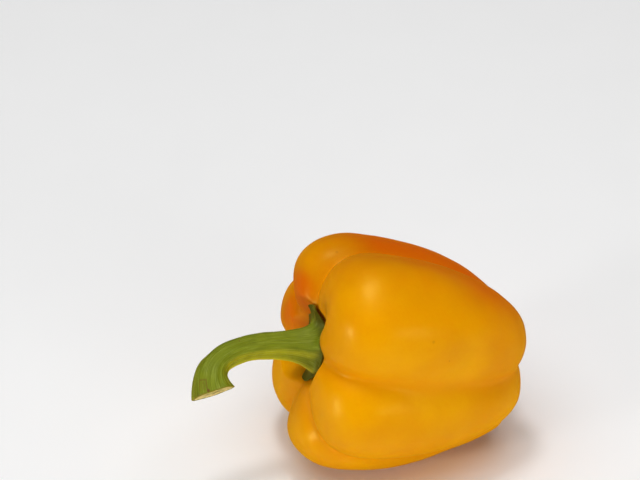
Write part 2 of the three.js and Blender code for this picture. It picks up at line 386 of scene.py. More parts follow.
@dataclass(frozen=True)
class StemForm:
    """The stem's side round a bent middle line, and the calyx that spreads from its foot.

    The middle line's four points are distances along the fruit's axis and towards the bend.
    """

    bend_azimuth: float = 306
    line: tuple[tuple[float, float], ...] = ((33, 0.6), (55, -0.4), (79, 3.5), (73, 20.4))
    radius: float = 4.8
    base_flare: float = 7.5
    base_flare_length: float = 5.5
    end_flare: float = 3.4
    end_flare_length: float = 14
    end_flare_power: float = 1.3
    ridges: int = 5
    ridge_share: float = 0.05
    foot_ridge_share: float = 0.1
    foot_ridge_length: float = 7
    tooth_lengths: tuple[float, ...] = (3.0, -1.6, 2.4, 2.2, 1.0, 1.6)
    first_tooth_azimuth: float = 90
    tooth_sharpness: float = 2
    tooth_bluntness: float = 2
    calyx_radius: float = 11.3
    calyx_thickness: float = 1.3
    calyx_gap: float = 0.5
    calyx_height: float = 35
    calyx_lean: float = 0.6
    upper_edge_share: float = 0.98
    collar_height: float = 6
    collar_fillet: float = 1.0
    collar_step: float = 0.5
    line_steps: int = 600

    def steps(self) -> tuple[np.ndarray, np.ndarray]:
        """Even steps along the middle line's Bezier curve.

        Returns:
            The curve's parameter at each step, and the distance run so far in millimetres.
        """
        share = np.linspace(0, 1, self.line_steps)
        points = self.curve(share)[0]
        gone = np.cumsum(np.linalg.norm(np.diff(points, axis=0), axis=1))
        return share, np.concatenate([[0.0], gone])

    def curve(self, share: np.ndarray) -> tuple[np.ndarray, np.ndarray]:
        """Points and headings of the middle line's Bezier curve.

        Args:
            share: The curve's parameter, from 0 to 1.

        Returns:
            Points and unit headings, each as (along the axis, towards the bend).
        """
        a, b, c, d = (np.array(point, float) for point in self.line)
        t = np.asarray(share)[..., None]
        points = (1 - t) ** 3 * a + 3 * (1 - t) ** 2 * t * b + 3 * (1 - t) * t**2 * c + t**3 * d
        headings = (1 - t) ** 2 * (b - a) + 2 * (1 - t) * t * (c - b) + t**2 * (d - c)
        return points, headings / np.linalg.norm(headings, axis=-1, keepdims=True)

    def length(self) -> float:
        """The middle line's length in millimetres."""
        return float(self.steps()[1][-1])

    def side(self, azimuth: np.ndarray, distance: np.ndarray, keep: float = 1.0) -> np.ndarray:
        """Points of the stem's side.

        Args:
            azimuth: Angles round the stem, in radians.
            distance: Distances along its middle line, in millimetres.
            keep: What is kept of the radius.

        Returns:
            The points in the fruit's frame.
        """
        share, gone = self.steps()
        centre, heading = self.curve(np.interp(distance, gone, share))
        bend = math.radians(self.bend_azimuth)
        axis = np.array([0.0, 0.0, 1.0])
        towards_bend = direction(np.array(bend), np.array(math.pi / 2))
        sideways = direction(np.array(bend + math.pi / 2), np.array(math.pi / 2))
        inwards = -heading[..., 1:] * axis + heading[..., :1] * towards_bend
        ending = np.maximum(1 - (gone[-1] - distance) / self.end_flare_length, 0)
        flare = self.base_flare * np.exp(-distance / self.base_flare_length)
        plain = self.radius + flare + self.end_flare * ending**self.end_flare_power
        ridge = np.cos(self.ridges * (azimuth - math.radians(self.first_tooth_azimuth)))
        swell = self.ridge_share + self.foot_ridge_share * np.exp(-distance / self.foot_ridge_length)
        radius = plain * (1 + swell * ridge) * keep
        middle = centre[..., :1] * axis + centre[..., 1:] * towards_bend
        turned = azimuth[..., None] - bend
        return middle + radius[..., None] * (np.cos(turned) * inwards + np.sin(turned) * sideways)

    def tooth(self, azimuth: np.ndarray) -> np.ndarray:
        """How far the calyx's edge stands out beyond its plain radius.

        Args:
            azimuth: Angles round the axis, in radians.

        Returns:
            The distances in millimetres, less than 0 where the edge is hollow.
        """
        count = len(self.tooth_lengths)
        place = (azimuth - math.radians(self.first_tooth_azimuth)) / FULL_TURN * count
        nearest = np.round(place)
        point = ((1 + np.cos(FULL_TURN * (place - nearest))) / 2) ** self.tooth_sharpness
        blunt = np.tanh(self.tooth_bluntness * point) / math.tanh(self.tooth_bluntness)
        return np.array(self.tooth_lengths)[nearest.astype(int) % count] * blunt

    def underside(self, fruit: FruitForm, azimuth: np.ndarray, share: np.ndarray) -> np.ndarray:
        """Points of the calyx's underside, just off the fruit.

        Args:
            fruit: The fruit that it lies on.
            azimuth: Angles round the axis, in radians.
            share: Share of the way from the calyx's middle to its edge.

        Returns:
            The points in the fruit's frame.
        """
        tooth = self.tooth(azimuth)
        from_axis = np.arctan2((self.calyx_radius + tooth) * share, self.calyx_height)
        leaning = fruit.skin(azimuth, from_axis + math.radians(self.calyx_lean), self.calyx_gap)[0]
        return direction(azimuth, from_axis) * np.linalg.norm(leaning, axis=-1)[..., None]

    def collar(self, fruit: FruitForm, azimuth: np.ndarray, share: np.ndarray) -> np.ndarray:
        """The quarter-round sweep from the calyx's upper edge to the stem's side.

        Args:
            fruit: The fruit that the calyx lies on.
            azimuth: Angles round the axis, in radians.
            share: Share of the way from the edge to the side.

        Returns:
            The points in the fruit's frame.
        """
        edge = self.underside(fruit, azimuth, np.full(azimuth.shape, self.upper_edge_share))
        edge[..., 2] += self.calyx_thickness
        side = self.side(azimuth, np.full(azimuth.shape, self.collar_height))
        reach = np.hypot(side[..., 0], side[..., 1]) + self.collar_fillet
        from_axis = np.arctan2(reach, self.calyx_height)
        floor = fruit.skin(azimuth, from_axis, self.calyx_gap + self.calyx_thickness)[0]
        ahead = self.side(azimuth, np.full(azimuth.shape, self.collar_height + self.collar_step)) - side
        corner = side - ahead * ((side[..., 2:] - floor[..., 2:]) / ahead[..., 2:])
        t = share[..., None]
        return (1 - t) ** 2 * edge + 2 * (1 - t) * t * corner + t**2 * side


def around(azimuth: np.ndarray, middle: float) -> np.ndarray:
    """Angles from a middle azimuth in degrees, in radians from minus to plus half a turn."""
    return (azimuth - math.radians(middle) + math.pi) % FULL_TURN - math.pi


@dataclass(frozen=True)
class BudScar:
    """The small square scar of a side bud on the stem.

    Lengths are millimetres, and the oval's width and length are shares of the scar's.
    """

    azimuth: float = 79
    distance: float = 49.9
    half_width: float = 1.3
    half_length: float = 1.4
    line: float = 0.24
    strength: float = 0.6
    oval_width: float = 0.35
    oval_length: float = 0.6
    oval_offset: float = 0.2
    oval_softness: float = 0.45
    oval_strength: float = 0.6
    stem_radius: float = 7.5

    def outline(self, azimuth: np.ndarray, distance: np.ndarray) -> np.ndarray:
        """The scar's dark outline, open towards the cut, with an oval inside.

        Args:
            azimuth: Angles round the stem, in radians.
            distance: Distances along it, in millimetres.

        Returns:
            How dark each place is, from 0 to 1.
        """
        across = self.stem_radius * around(azimuth, self.azimuth)
        along = distance - self.distance
        box = np.maximum(np.abs(across) - self.half_width, -along - self.half_length)
        frame_line = np.exp(-((box / self.line) ** 2)) * (along < self.half_length)
        oval_across = across / (self.oval_width * self.half_width)
        oval_along = (along - self.oval_offset) / (self.oval_length * self.half_length)
        off_oval = (np.hypot(oval_across, oval_along) - 1) / self.oval_softness
        oval = self.oval_strength * np.exp(-(off_oval**2))
        return self.strength * np.maximum(frame_line, oval)


@dataclass(frozen=True)
class Lying:
    """How the fruit lies: its axis dips towards the blossom end, and it is rolled on its lower lobes."""

    axis_dip: float = 15.5
    roll: float = -11.1

    def turn(self) -> np.ndarray:
        """The rotation from the fruit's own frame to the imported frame.

        Returns:
            The rotation, as a 3 by 3 matrix.
        """
        own = Matrix(((0, 0, -1), (-1, 0, 0), (0, 1, 0)))
        dip = Matrix.Rotation(math.radians(self.axis_dip), 3, "Y")
        roll = Matrix.Rotation(math.radians(self.roll), 3, "X")
        return np.array(roll @ dip @ own)


class Place:
    """Carries points from the fruit's own frame, in millimetres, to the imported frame, in metres."""

    def __init__(self, turn: np.ndarray, plain_fruit: np.ndarray) -> None:
        """Sets the fruit where its CAD node is.

        Args:
            turn: The rotation from the fruit's own frame.
            plain_fruit: The fruit's skin before any relief, in its own frame.
        """
        self.turn = turn
        turned = plain_fruit.reshape(-1, 3) @ turn.T * MM
        low, high = (np.array(corner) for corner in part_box("fruit"))
        self.origin = (low + high) / 2 - (turned.min(axis=0) + turned.max(axis=0)) / 2
        self.origin[2] = high[2] - turned[:, 2].max()

    def points(self, own: np.ndarray) -> np.ndarray:
        """Carries points over, none of them under the surface that the pepper rests on.

        Args:
            own: Points in the fruit's own frame, in millimetres.

        Returns:
            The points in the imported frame, in metres.
        """
        placed = own @ self.turn.T * MM + self.origin
        placed[..., 2] = np.maximum(placed[..., 2], 0)
        return placed

    def heights(self, own: np.ndarray) -> np.ndarray:
        """Heights of the points above the resting surface, in millimetres."""
        return (own @ self.turn[2]) + self.origin[2] / MM


def ringed_mesh(
    name: str, first_tip: np.ndarray, rings: np.ndarray, last_tip: np.ndarray, place: Place
) -> bpy.types.Object:
    """Makes one closed body from rings of points between two tips.

    Args:
        name: The piece's name.
        first_tip: The point that closes the first ring.
        rings: Points as rings by columns by 3.
        last_tip: The point that closes the last ring.
        place: Where the fruit's own frame lies.

    Returns:
        The piece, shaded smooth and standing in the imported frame.
    """
    count, columns = rings.shape[:2]
    points = np.concatenate([first_tip[None], rings.reshape(-1, 3), last_tip[None]])
    here = np.arange(columns)
    after = (here + 1) % columns
    starts = 1 + np.arange(count - 1)[:, None] * columns
    quads = np.stack([starts + here, starts + columns + here, starts + columns + after, starts + after], -1)
    final = 1 + (count - 1) * columns
    first_fan = [(0, 1 + a, 1 + b) for a, b in zip(here.tolist(), after.tolist())]
    last_fan = [(len(points) - 1, final + b, final + a) for a, b in zip(here.tolist(), after.tolist())]
    mesh = bpy.data.meshes.new(name)
    mesh.from_pydata(place.points(points).tolist(), [], first_fan + quads.reshape(-1, 4).tolist() + last_fan)
    mesh.validate()
    mesh.shade_smooth()
    piece = bpy.data.objects.new(name, mesh)
    bpy.context.scene.collection.objects.link(piece)
    return piece


def tell_points(
    piece: bpy.types.Object, name: str, values: np.ndarray, tips: tuple[TipValue, TipValue] = (0.0, 0.0)
) -> None:
    """Stores a value for every point of a ringed mesh, for its material to read.

    Args:
        piece: The piece.
        name: The attribute's name.
        values: One number, or one vector, for each point of the rings.
        tips: The values at the first and the last tip.
    """
    width = values.shape[2] if values.ndim == 3 else 1
    rows = values.reshape(-1, width)
    ends = [np.broadcast_to(np.asarray(tip, float), (1, width)) for tip in tips]
    full = np.concatenate([ends[0], rows, ends[1]]).astype(np.float32)
    kind, field = ("FLOAT_VECTOR", "vector") if width == 3 else ("FLOAT", "value")
    attribute = piece.data.attributes.new(name, kind, "POINT")
    attribute.data.foreach_set(field, full.ravel())


class Recipe:
    """A material's nodes, made and joined one at a time round one Principled shader.

    A speck is full as far out as speck_core of its radius, and fades from there.
    """

    speck_core: float = 0.4

    def __init__(self, name: str) -> None:
        """Starts a material.

        Args:
            name: The material's name.
        """
        self.material = bpy.data.materials.new(name)
        self.material.use_nodes = True
        self.tree = self.material.node_tree
        self.tree.nodes.clear()
        self.shader = self.tree.nodes.new("ShaderNodeBsdfPrincipled")
        output = self.tree.nodes.new("ShaderNodeOutputMaterial")
        self.tree.links.new(self.shader.outputs["BSDF"], output.inputs["Surface"])

    def put(self, target: Socket, value: Socket | float | Colour) -> None:
        """Joins a socket to another, or sets a constant on it.

        Args:
            target: The input socket.
            value: An output socket to join, or the constant.
        """
        if isinstance(value, bpy.types.NodeSocket):
            self.tree.links.new(value, target)
        else:
            target.default_value = value

    def constants(self, **values: float | Colour) -> None:
        """Sets constants on the shader's own sockets.

        Args:
            **values: Socket names, with underscores for spaces, and their values.
        """
        for name, value in values.items():
            self.shader.inputs[name.replace("_", " ")].default_value = value

    def own_place(self) -> Socket:
        """The point's place on the piece, in metres."""
        return self.tree.nodes.new("ShaderNodeTexCoord").outputs["Object"]

    def told(self, name: str, vector: bool = False) -> Socket:
        """A value that the mesh stores for its points.

        Args:
            name: The attribute's name.
            vector: Whether it is a vector.

        Returns:
            The value's socket.
        """
        node = self.tree.nodes.new("ShaderNodeAttribute")
        node.attribute_name = name
        return node.outputs["Vector" if vector else "Fac"]

    def noise(self, place: Socket, scale: float, detail: float = 2.0, distortion: float = 0.0) -> Socket:
        """Smooth noise.

        Args:
            place: Where it is read.
            scale: Spots in each unit of the place.
            detail: How much finer noise it carries.
            distortion: How much it is twisted.

        Returns:
            A socket that runs from 0 to 1, mostly near the middle.
        """
        node = self.tree.nodes.new("ShaderNodeTexNoise")
        self.put(node.inputs["Vector"], place)
        node.inputs["Scale"].default_value = scale
        node.inputs["Detail"].default_value = detail
        node.inputs["Distortion"].default_value = distortion
        return node.outputs["Fac"]

    def stretched(self, place: Socket, scale: tuple[float, float, float]) -> Socket:
        """The place, scaled along each of its axes.

        Args:
            place: The place.
            scale: The factor along each axis.

        Returns:
            The scaled place's socket.
        """
        node = self.tree.nodes.new("ShaderNodeMapping")
        self.put(node.inputs["Vector"], place)
        node.inputs["Scale"].default_value = scale
        return node.outputs["Vector"]

    def surface(self, colour: Socket | Colour, roughness: Socket) -> None:
        """Gives the shader its colour and its roughness."""
        self.put(self.shader.inputs["Base Color"], colour)
        self.put(self.shader.inputs["Roughness"], roughness)

    def combine(self, step: MathStep, first: Socket | float, second: Socket | float) -> Socket:
        """One step of arithmetic.

        Args:
            step: What is done.
            first: The first value.
            second: The second value.

        Returns:
            The result's socket, kept between 0 and 1.
        """
        node = self.tree.nodes.new("ShaderNodeMath")
        node.operation = step.value
        node.use_clamp = True
        self.put(node.inputs[0], first)
        self.put(node.inputs[1], second)
        return node.outputs["Value"]

    def scaled(self, value: Socket, factor: float) -> Socket:
        """The value times a factor, kept between 0 and 1."""
        return self.combine(MathStep.MULTIPLY, value, factor)

    def spread(self, value: Socket, low: float, high: float, first: float = 0.0, last: float = 1.0) -> Socket:
        """Maps a stretch of a value to another, smoothly.

        Args:
            value: The value.
            low: Where its stretch starts.
            high: Where it ends.
            first: The result at the start.
            last: The result at the end.

        Returns:
            The result's socket.
        """
        node = self.tree.nodes.new("ShaderNodeMapRange")
        node.interpolation_type = "SMOOTHSTEP"
        self.put(node.inputs["Value"], value)
        for name, number in (("From Min", low), ("From Max", high), ("To Min", first), ("To Max", last)):
            node.inputs[name].default_value = number
        return node.outputs["Result"]

    def mix(self, share: Socket, first: Socket | Colour, second: Socket | Colour) -> Socket:
        """Mixes two colours.

        Args:
            share: How much of the second there is.
            first: The first colour.
            second: The second colour.

        Returns:
            The mixed colour's socket.
        """
        node = self.tree.nodes.new("ShaderNodeMix")
        node.data_type = "RGBA"
        colours = [socket for socket in node.inputs if socket.type == "RGBA"]
        self.put(node.inputs[0], share)
        self.put(colours[0], first)
        self.put(colours[1], second)
        return next(socket for socket in node.outputs if socket.type == "RGBA")

    def specks(self, place: Socket, per_metre: float, size: float, kept: float) -> Socket:
        """Small scattered round specks.

        Args:
            place: Where they are read, in metres.
            per_metre: How many cells there are in a metre, with at most one speck in each.
            size: A speck's radius as a share of its cell.
            kept: The share of the cells that have one.

        Returns:
            A socket that is 1 in a speck and 0 elsewhere.
        """
        node = self.tree.nodes.new("ShaderNodeTexVoronoi")
        self.put(node.inputs["Vector"], place)
        node.inputs["Scale"].default_value = per_metre
        near = self.spread(node.outputs["Distance"], size, self.speck_core * size)
        parts = self.tree.nodes.new("ShaderNodeSeparateColor")
        self.put(parts.inputs["Color"], node.outputs["Color"])
        chosen = self.spread(parts.outputs["Red"], 1 - kept, 1.01 - kept)
        return self.combine(MathStep.MULTIPLY, near, chosen)

    def spot(self, place: Socket, centre: np.ndarray, radius: float) -> Socket:
        """One round spot.

        Args:
            place: Where it is read, in metres.
            centre: The spot's middle.
            radius: Its radius.

        Returns:
            A socket that is 1 in the spot and 0 elsewhere.
        """
        node = self.tree.nodes.new("ShaderNodeVectorMath")
        node.operation = "DISTANCE"
        self.put(node.inputs[0], place)
        node.inputs[1].default_value = centre.tolist()
        return self.spread(node.outputs["Value"], radius, self.speck_core * radius)

    def bump(self, height: Socket, depth: float, strength: float = 1.0) -> None:
        """Gives the shader a fine relief.

        Args:
            height: The relief, from 0 to 1.
            depth: How deep it is, in metres.
            strength: How much of it is used.
        """
        node = self.tree.nodes.new("ShaderNodeBump")
        node.inputs["Strength"].default_value = strength
        node.inputs["Distance"].default_value = depth
        self.put(node.inputs["Height"], height)
        self.put(self.shader.inputs["Normal"], node.outputs["Normal"])


@dataclass(frozen=True)
class WaxySkin:
    """The fruit's glossy skin: golden on the lobes, with painted shade that turns it darker and more orange
    in the valleys, towards the top, on the upper side of the stem's dish and on the inner shoulder.
    """

    golden: Colour = pigment(233, 164, 0)
    # orange and deep are the painted shade colours; random patches and fine grain use them too.
    orange: Colour = pigment(206, 118, 0)
    deep: Colour = pigment(216, 98, 0)
    # Painted shade in the valleys between lobes: darker and more orange than the golden lobes.
    crease_shade: Colour = pigment(228, 142, 0)
    speck: Colour = pigment(150, 84, 10)
    cork: Colour = pigment(150, 112, 60)
    cork_dark: Colour = pigment(92, 62, 28)
    patch_share: float = 0.22
    crease_shade_share: float = 0.6
    grain_share: float = 0.07
    speck_share: float = 0.35
    freckle_share: float = 0.22
    freckle_radius: float = 0.0008
    roughness: Pair = (0.3, 0.38)
    cork_roughness: float = 0.8
    sheen_tint: Colour = (1.0, 0.92, 0.2, 1.0)

    def material(self, freckles: np.ndarray) -> bpy.types.Material:
        """Makes the skin's material.

        Args:
            freckles: Places of single dark specks, in metres.

        Returns:
            The material.
        """
        recipe = Recipe("waxy_yellow_skin")
        place = recipe.own_place()
        patches = recipe.spread(recipe.noise(place, scale=38, detail=3, distortion=0.4), 0.35, 0.68)
        # Painted shade: the shade share, with random patches, turns the golden skin orange, and its highest
        # values deep orange.
        shade_and_tone = recipe.told("shade_and_tone")
        shade_and_patches = recipe.combine(MathStep.ADD, shade_and_tone, recipe.scaled(patches, self.patch_share))
        colour = recipe.mix(shade_and_patches, self.golden, self.orange)
        colour = recipe.mix(recipe.spread(shade_and_tone, 0.6, 1.0), colour, self.deep)
        # Painted shade in the valleys between lobes.
        colour = recipe.mix(recipe.scaled(recipe.told("valley"), self.crease_shade_share), colour, self.crease_shade)
        grain = recipe.spread(recipe.noise(place, scale=900), 0.3, 0.75, 0.0, self.grain_share)
        colour = recipe.mix(grain, colour, self.deep)
        specks = recipe.specks(place, per_metre=70, size=0.028, kept=0.16)
        colour = recipe.mix(recipe.scaled(specks, self.speck_share), colour, self.speck)
        for freckle in freckles:
            dimple = recipe.spot(place, freckle, self.freckle_radius)
            colour = recipe.mix(recipe.scaled(dimple, self.freckle_share), colour, self.speck)
        scar = recipe.told("scar")
        fibres = recipe.spread(recipe.noise(place, scale=1500, detail=3), 0.35, 0.65)
        colour = recipe.mix(scar, colour, recipe.mix(fibres, self.cork, self.cork_dark))
        gloss = recipe.spread(recipe.noise(place, scale=55, detail=3), 0.3, 0.7, *self.roughness)
        gloss = recipe.combine(MathStep.LARGER, gloss, recipe.scaled(scar, self.cork_roughness))
        recipe.surface(colour, gloss)
        recipe.constants(
            IOR=1.38, Specular_IOR_Level=0.5, Specular_Tint=self.sheen_tint, Subsurface_Weight=0.15,
            Subsurface_Scale=0.004, Subsurface_Radius=(1.0, 0.35, 0.05),
        )
        recipe.bump(recipe.noise(place, scale=420), depth=0.00012, strength=0.5)
        return recipe.material


@dataclass(frozen=True)
class StemGreen:
    """The stem's satin green: fine lengthwise streaks, paler fine streaks that are partly painted sheen, a
    yellower and brighter underside that is partly painted bounce light, darker on the calyx.
    """

    green: Colour = pigment(112, 122, 18)
    bright: Colour = pigment(122, 134, 28)
    dark: Colour = pigment(80, 92, 14)
    # Pale fine streaks: partly the stem's own striations, partly painted sheen.
    pale_streak_sheen: Colour = pigment(148, 160, 66)
    # The underside's colour: partly the stem's own yellower tone, partly painted bounce light from the floor.
    yellow: Colour = pigment(206, 200, 34)
    calyx: Colour = pigment(84, 84, 12)
    dry: Colour = pigment(120, 96, 44)
    spot: Colour = pigment(104, 62, 24)
    roughness: Pair = (0.42, 0.56)
    sheen_tint: Colour = (1.0, 1.0, 0.5, 1.0)

    def material(self) -> bpy.types.Material:
        """Makes the stem's material.

        Returns:
            The material.
        """
        recipe = Recipe("satin_green_stem")
        place = recipe.own_place()
        grain = recipe.told("grain", vector=True)
        broad = recipe.noise(recipe.stretched(grain, (2.2, 2.2, 0.05)), scale=1.6, detail=3)
        fine = recipe.noise(recipe.stretched(grain, (14.0, 14.0, 0.1)), scale=1.4, detail=3)
        colour = recipe.mix(recipe.spread(broad, 0.36, 0.66, 0.1, 0.8), self.green, self.bright)
        colour = recipe.mix(recipe.spread(fine, 0.42, 0.74, 0.0, 0.5), colour, self.dark)
        # Pale fine streaks, partly painted sheen.
        colour = recipe.mix(recipe.spread(fine, 0.46, 0.3, 0.0, 0.5), colour, self.pale_streak_sheen)
        # Partly painted bounce light: yellower and brighter on the side that faces down.
        colour = recipe.mix(recipe.told("underside_tone_and_light"), colour, self.yellow)
        patches = recipe.spread(recipe.noise(place, scale=260, detail=3), 0.45, 0.7, 0.0, 0.25)
        colour = recipe.mix(patches, colour, self.dark)
        for told, tone in (("calyx", self.calyx), ("dry", self.dry), ("spot", self.spot)):
            colour = recipe.mix(recipe.told(told), colour, tone)
        recipe.surface(colour, recipe.spread(fine, 0.3, 0.7, *self.roughness))
        recipe.constants(
            IOR=1.45, Specular_IOR_Level=0.42, Specular_Tint=self.sheen_tint, Subsurface_Weight=0.08,
            Subsurface_Scale=0.002, Subsurface_Radius=(0.5, 0.7, 0.1),
        )
        recipe.bump(fine, depth=0.00025, strength=0.6)
        return recipe.material


@dataclass(frozen=True)
class CutEnd:
    """The pale cut end: a thin green rim, a cream ring of fibres and a greener pith."""

    rim: Colour = pigment(120, 128, 40)
    cream: Colour = pigment(222, 200, 128)
    pith: Colour = pigment(190, 180, 104)
    fibre: Colour = pigment(176, 148, 84)
    roughness: Pair = (0.6, 0.85)

    def material(self) -> bpy.types.Material:
        """Makes the cut end's material.

        Returns:
            The material.
        """
        recipe = Recipe("pale_cut_end")
        place = recipe.own_place()
        out = recipe.told("from_middle")
        grain = recipe.told("grain", vector=True)
        rays = recipe.noise(recipe.stretched(grain, (6.0, 6.0, 1.0)), scale=1.5, detail=3)
        fibres = recipe.noise(place, scale=1700, detail=3)
        colour = recipe.mix(recipe.spread(out, 0.4, 0.62), self.pith, self.cream)
        colour = recipe.mix(recipe.spread(rays, 0.5, 0.75, 0.0, 0.6), colour, self.fibre)
        colour = recipe.mix(recipe.spread(fibres, 0.5, 0.72, 0.0, 0.45), colour, self.fibre)
        colour = recipe.mix(recipe.spread(out, 0.86, 0.97), colour, self.rim)
        recipe.surface(colour, recipe.spread(fibres, 0.3, 0.7, *self.roughness))
        recipe.constants(
            Specular_IOR_Level=0.35, Subsurface_Weight=0.15, Subsurface_Scale=0.002,
            Subsurface_Radius=(0.8, 0.8, 0.4),
        )
        recipe.bump(fibres, depth=0.0003, strength=0.8)
        return recipe.material


def dress(piece: bpy.types.Object, material: bpy.types.Material, slot: Slot) -> None:
    """Gives a piece its material, and lets it ride on the pepper's body.

    Args:
        piece: The piece.
        material: Its material.
        slot: Not used.
    """
    piece.data.materials.append(material)
    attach(piece, BODY)


@dataclass
class Fruit:
    """The fruit: one skin, with the slight unevenness of a grown thing.

    Lengths are millimetres and angles degrees. A pair of numbers is where a smooth step starts and ends,
    and for the scar's reach the least and the most that its radius is multiplied by.
    """

    form: FruitForm = FruitForm()
    lying: Lying = Lying()
    columns: int = 432
    dish_rings: int = 60
    dish_angle: float = 40
    wall_rings: int = 158
    swell: Waves = Waves(seed=11, length=27)
    swell_depth: float = 0.62
    ripple: Waves = Waves(seed=23, length=9)
    ripple_depth: float = 0.10
    dents: tuple[Dent, ...] = (
        Dent(azimuth=52, from_axis=82, radius=9, depth=0.5),
        Dent(azimuth=20, from_axis=112, radius=8, depth=0.4),
        Dent(azimuth=330, from_axis=70, radius=10, depth=0.5),
        Dent(azimuth=100, from_axis=120, radius=9, depth=0.5),
        Dent(azimuth=150, from_axis=80, radius=11, depth=0.6),
        Dent(azimuth=205, from_axis=105, radius=9, depth=0.5),
        Dent(azimuth=245, from_axis=60, radius=8, depth=0.5),
        Dent(azimuth=290, from_axis=120, radius=8, depth=0.4),
    )
    resting_height: float = 7.0
    # Painted shade: the skin is painted darker and more orange towards the top lobe, on the upper side of the
    # stem's dish and on the inner shoulder. The tone waves add uneven colour of the skin's own.
    top_shade_azimuth: float = 128
    top_shade_spread: float = 130
    top_shade_heights: Pair = (42, 2)
    top_shade_at_shoulder: float = 0.45
    dish_shade: float = 0.75
    shoulder_azimuth: float = 150
    shoulder_shade: float = 0.5
    shoulder_from_axis: Pair = (40, 27)
    shoulder_beside: Pair = (75, 35)
    tone_waves: Waves = Waves(seed=5, length=38)
    tone_unevenness: float = 0.3
    scar_radius: float = 2.6
    scar_core: float = 0.55
    scar_rise: float = 0.5
    scar_waves: Waves = Waves(seed=41, length=1.6)
    scar_reach: Pair = (0.6, 1.3)
    freckles: tuple[tuple[float, float], ...] = ((28.5, 84.5), (106, 49), (64, 66), (301, 74), (236, 88))

    def __post_init__(self) -> None:
        """Works out the plain skin, and where it lies."""
        turns = FULL_TURN * np.arange(self.columns) / self.columns
        dish = np.linspace(0, self.dish_angle, self.dish_rings + 1)[1:]
        wall = np.linspace(self.dish_angle, 180, self.wall_rings + 1)[1:-1]
        angles = np.radians(np.concatenate([dish, wall]))
        self.azimuth, self.from_axis = np.meshgrid(turns, angles)
        self.skin, self.valley, self.in_dish = self.form.skin(self.azimuth, self.from_axis)
        self.place = Place(self.lying.turn(), self.skin)

    def relief(self) -> np.ndarray:
        """How far each point of the skin lies below the plain form.

        Returns:
            The depths in millimetres.
        """
        depth = self.swell_depth * self.swell.at(self.skin) + self.ripple_depth * self.ripple.at(self.skin)
        towards = direction(self.azimuth, self.from_axis)
        for dent in self.dents:
            depth += dent.depths(towards)
        return depth * smooth_step(self.place.heights(self.skin), 0, self.resting_height)

    def scar(self) -> np.ndarray:
        """The corky scar at the blossom end.

        Returns:
            How corky each point is, from 0 to 1.
        """
        out = np.hypot(self.skin[..., 0], self.skin[..., 1])
        least, most = self.scar_reach
        reach = least + (most - least) * self.scar_waves.at(self.skin)
        at_blossom_end = self.skin[..., 2] < 0
        return smooth_step(out / reach, self.scar_radius, self.scar_core * self.scar_radius) * at_blossom_end

    def shade_and_tone(self) -> np.ndarray:
        """How much painted shade turns the skin darker and more orange than at its most golden: towards the
        top lobe, on the upper side of the stem's dish and on the inner shoulder, with uneven tone of the
        skin's own added.

        Returns:
            The share of painted shade and uneven tone at each point, from 0 to 1.
        """
        away = np.degrees(np.abs(around(self.azimuth, self.top_shade_azimuth)))
        beside = np.degrees(np.abs(around(self.azimuth, self.shoulder_azimuth)))
        below = smooth_step(self.skin[..., 2], *self.top_shade_heights)
        kept = self.top_shade_at_shoulder + (1 - self.top_shade_at_shoulder) * below
        top = kept * smooth_step(away, self.top_shade_spread, 0)
        dish = self.dish_shade * self.in_dish * (1 + np.sin(self.azimuth)) / 2
        inside = smooth_step(np.degrees(self.from_axis), *self.shoulder_from_axis)
        shoulder = self.shoulder_shade * inside * smooth_step(beside, *self.shoulder_beside)
        waves = self.tone_unevenness * self.tone_waves.at(self.skin)
        return np.clip(top + waves + np.maximum(dish, shoulder), 0, 1)

    def build(self) -> bpy.types.Object:
        """Makes the skin in place of the fruit's CAD node.

        Returns:
            The dressed piece.
        """
        scar = self.scar()
        sunk = self.skin - (self.relief() - self.scar_rise * scar)[..., None] * outward(self.skin)
        piece = ringed_mesh("pepper_skin", sunk[0].mean(axis=0), sunk, sunk[-1].mean(axis=0), self.place)
        tell_points(piece, "valley", self.valley)
        # Stores the painted shade, with the uneven tone, for the skin's colour.
        tell_points(piece, "shade_and_tone", self.shade_and_tone(), (0.5, 0.3))
        tell_points(piece, "scar", scar, (0.0, 1.0))
        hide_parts("fruit")
        azimuth, from_axis = np.radians(self.freckles).T
        freckles = self.place.points(self.form.skin(azimuth, from_axis)[0])
        dress(piece, WaxySkin().material(freckles), Slot.SKIN)
        return piece


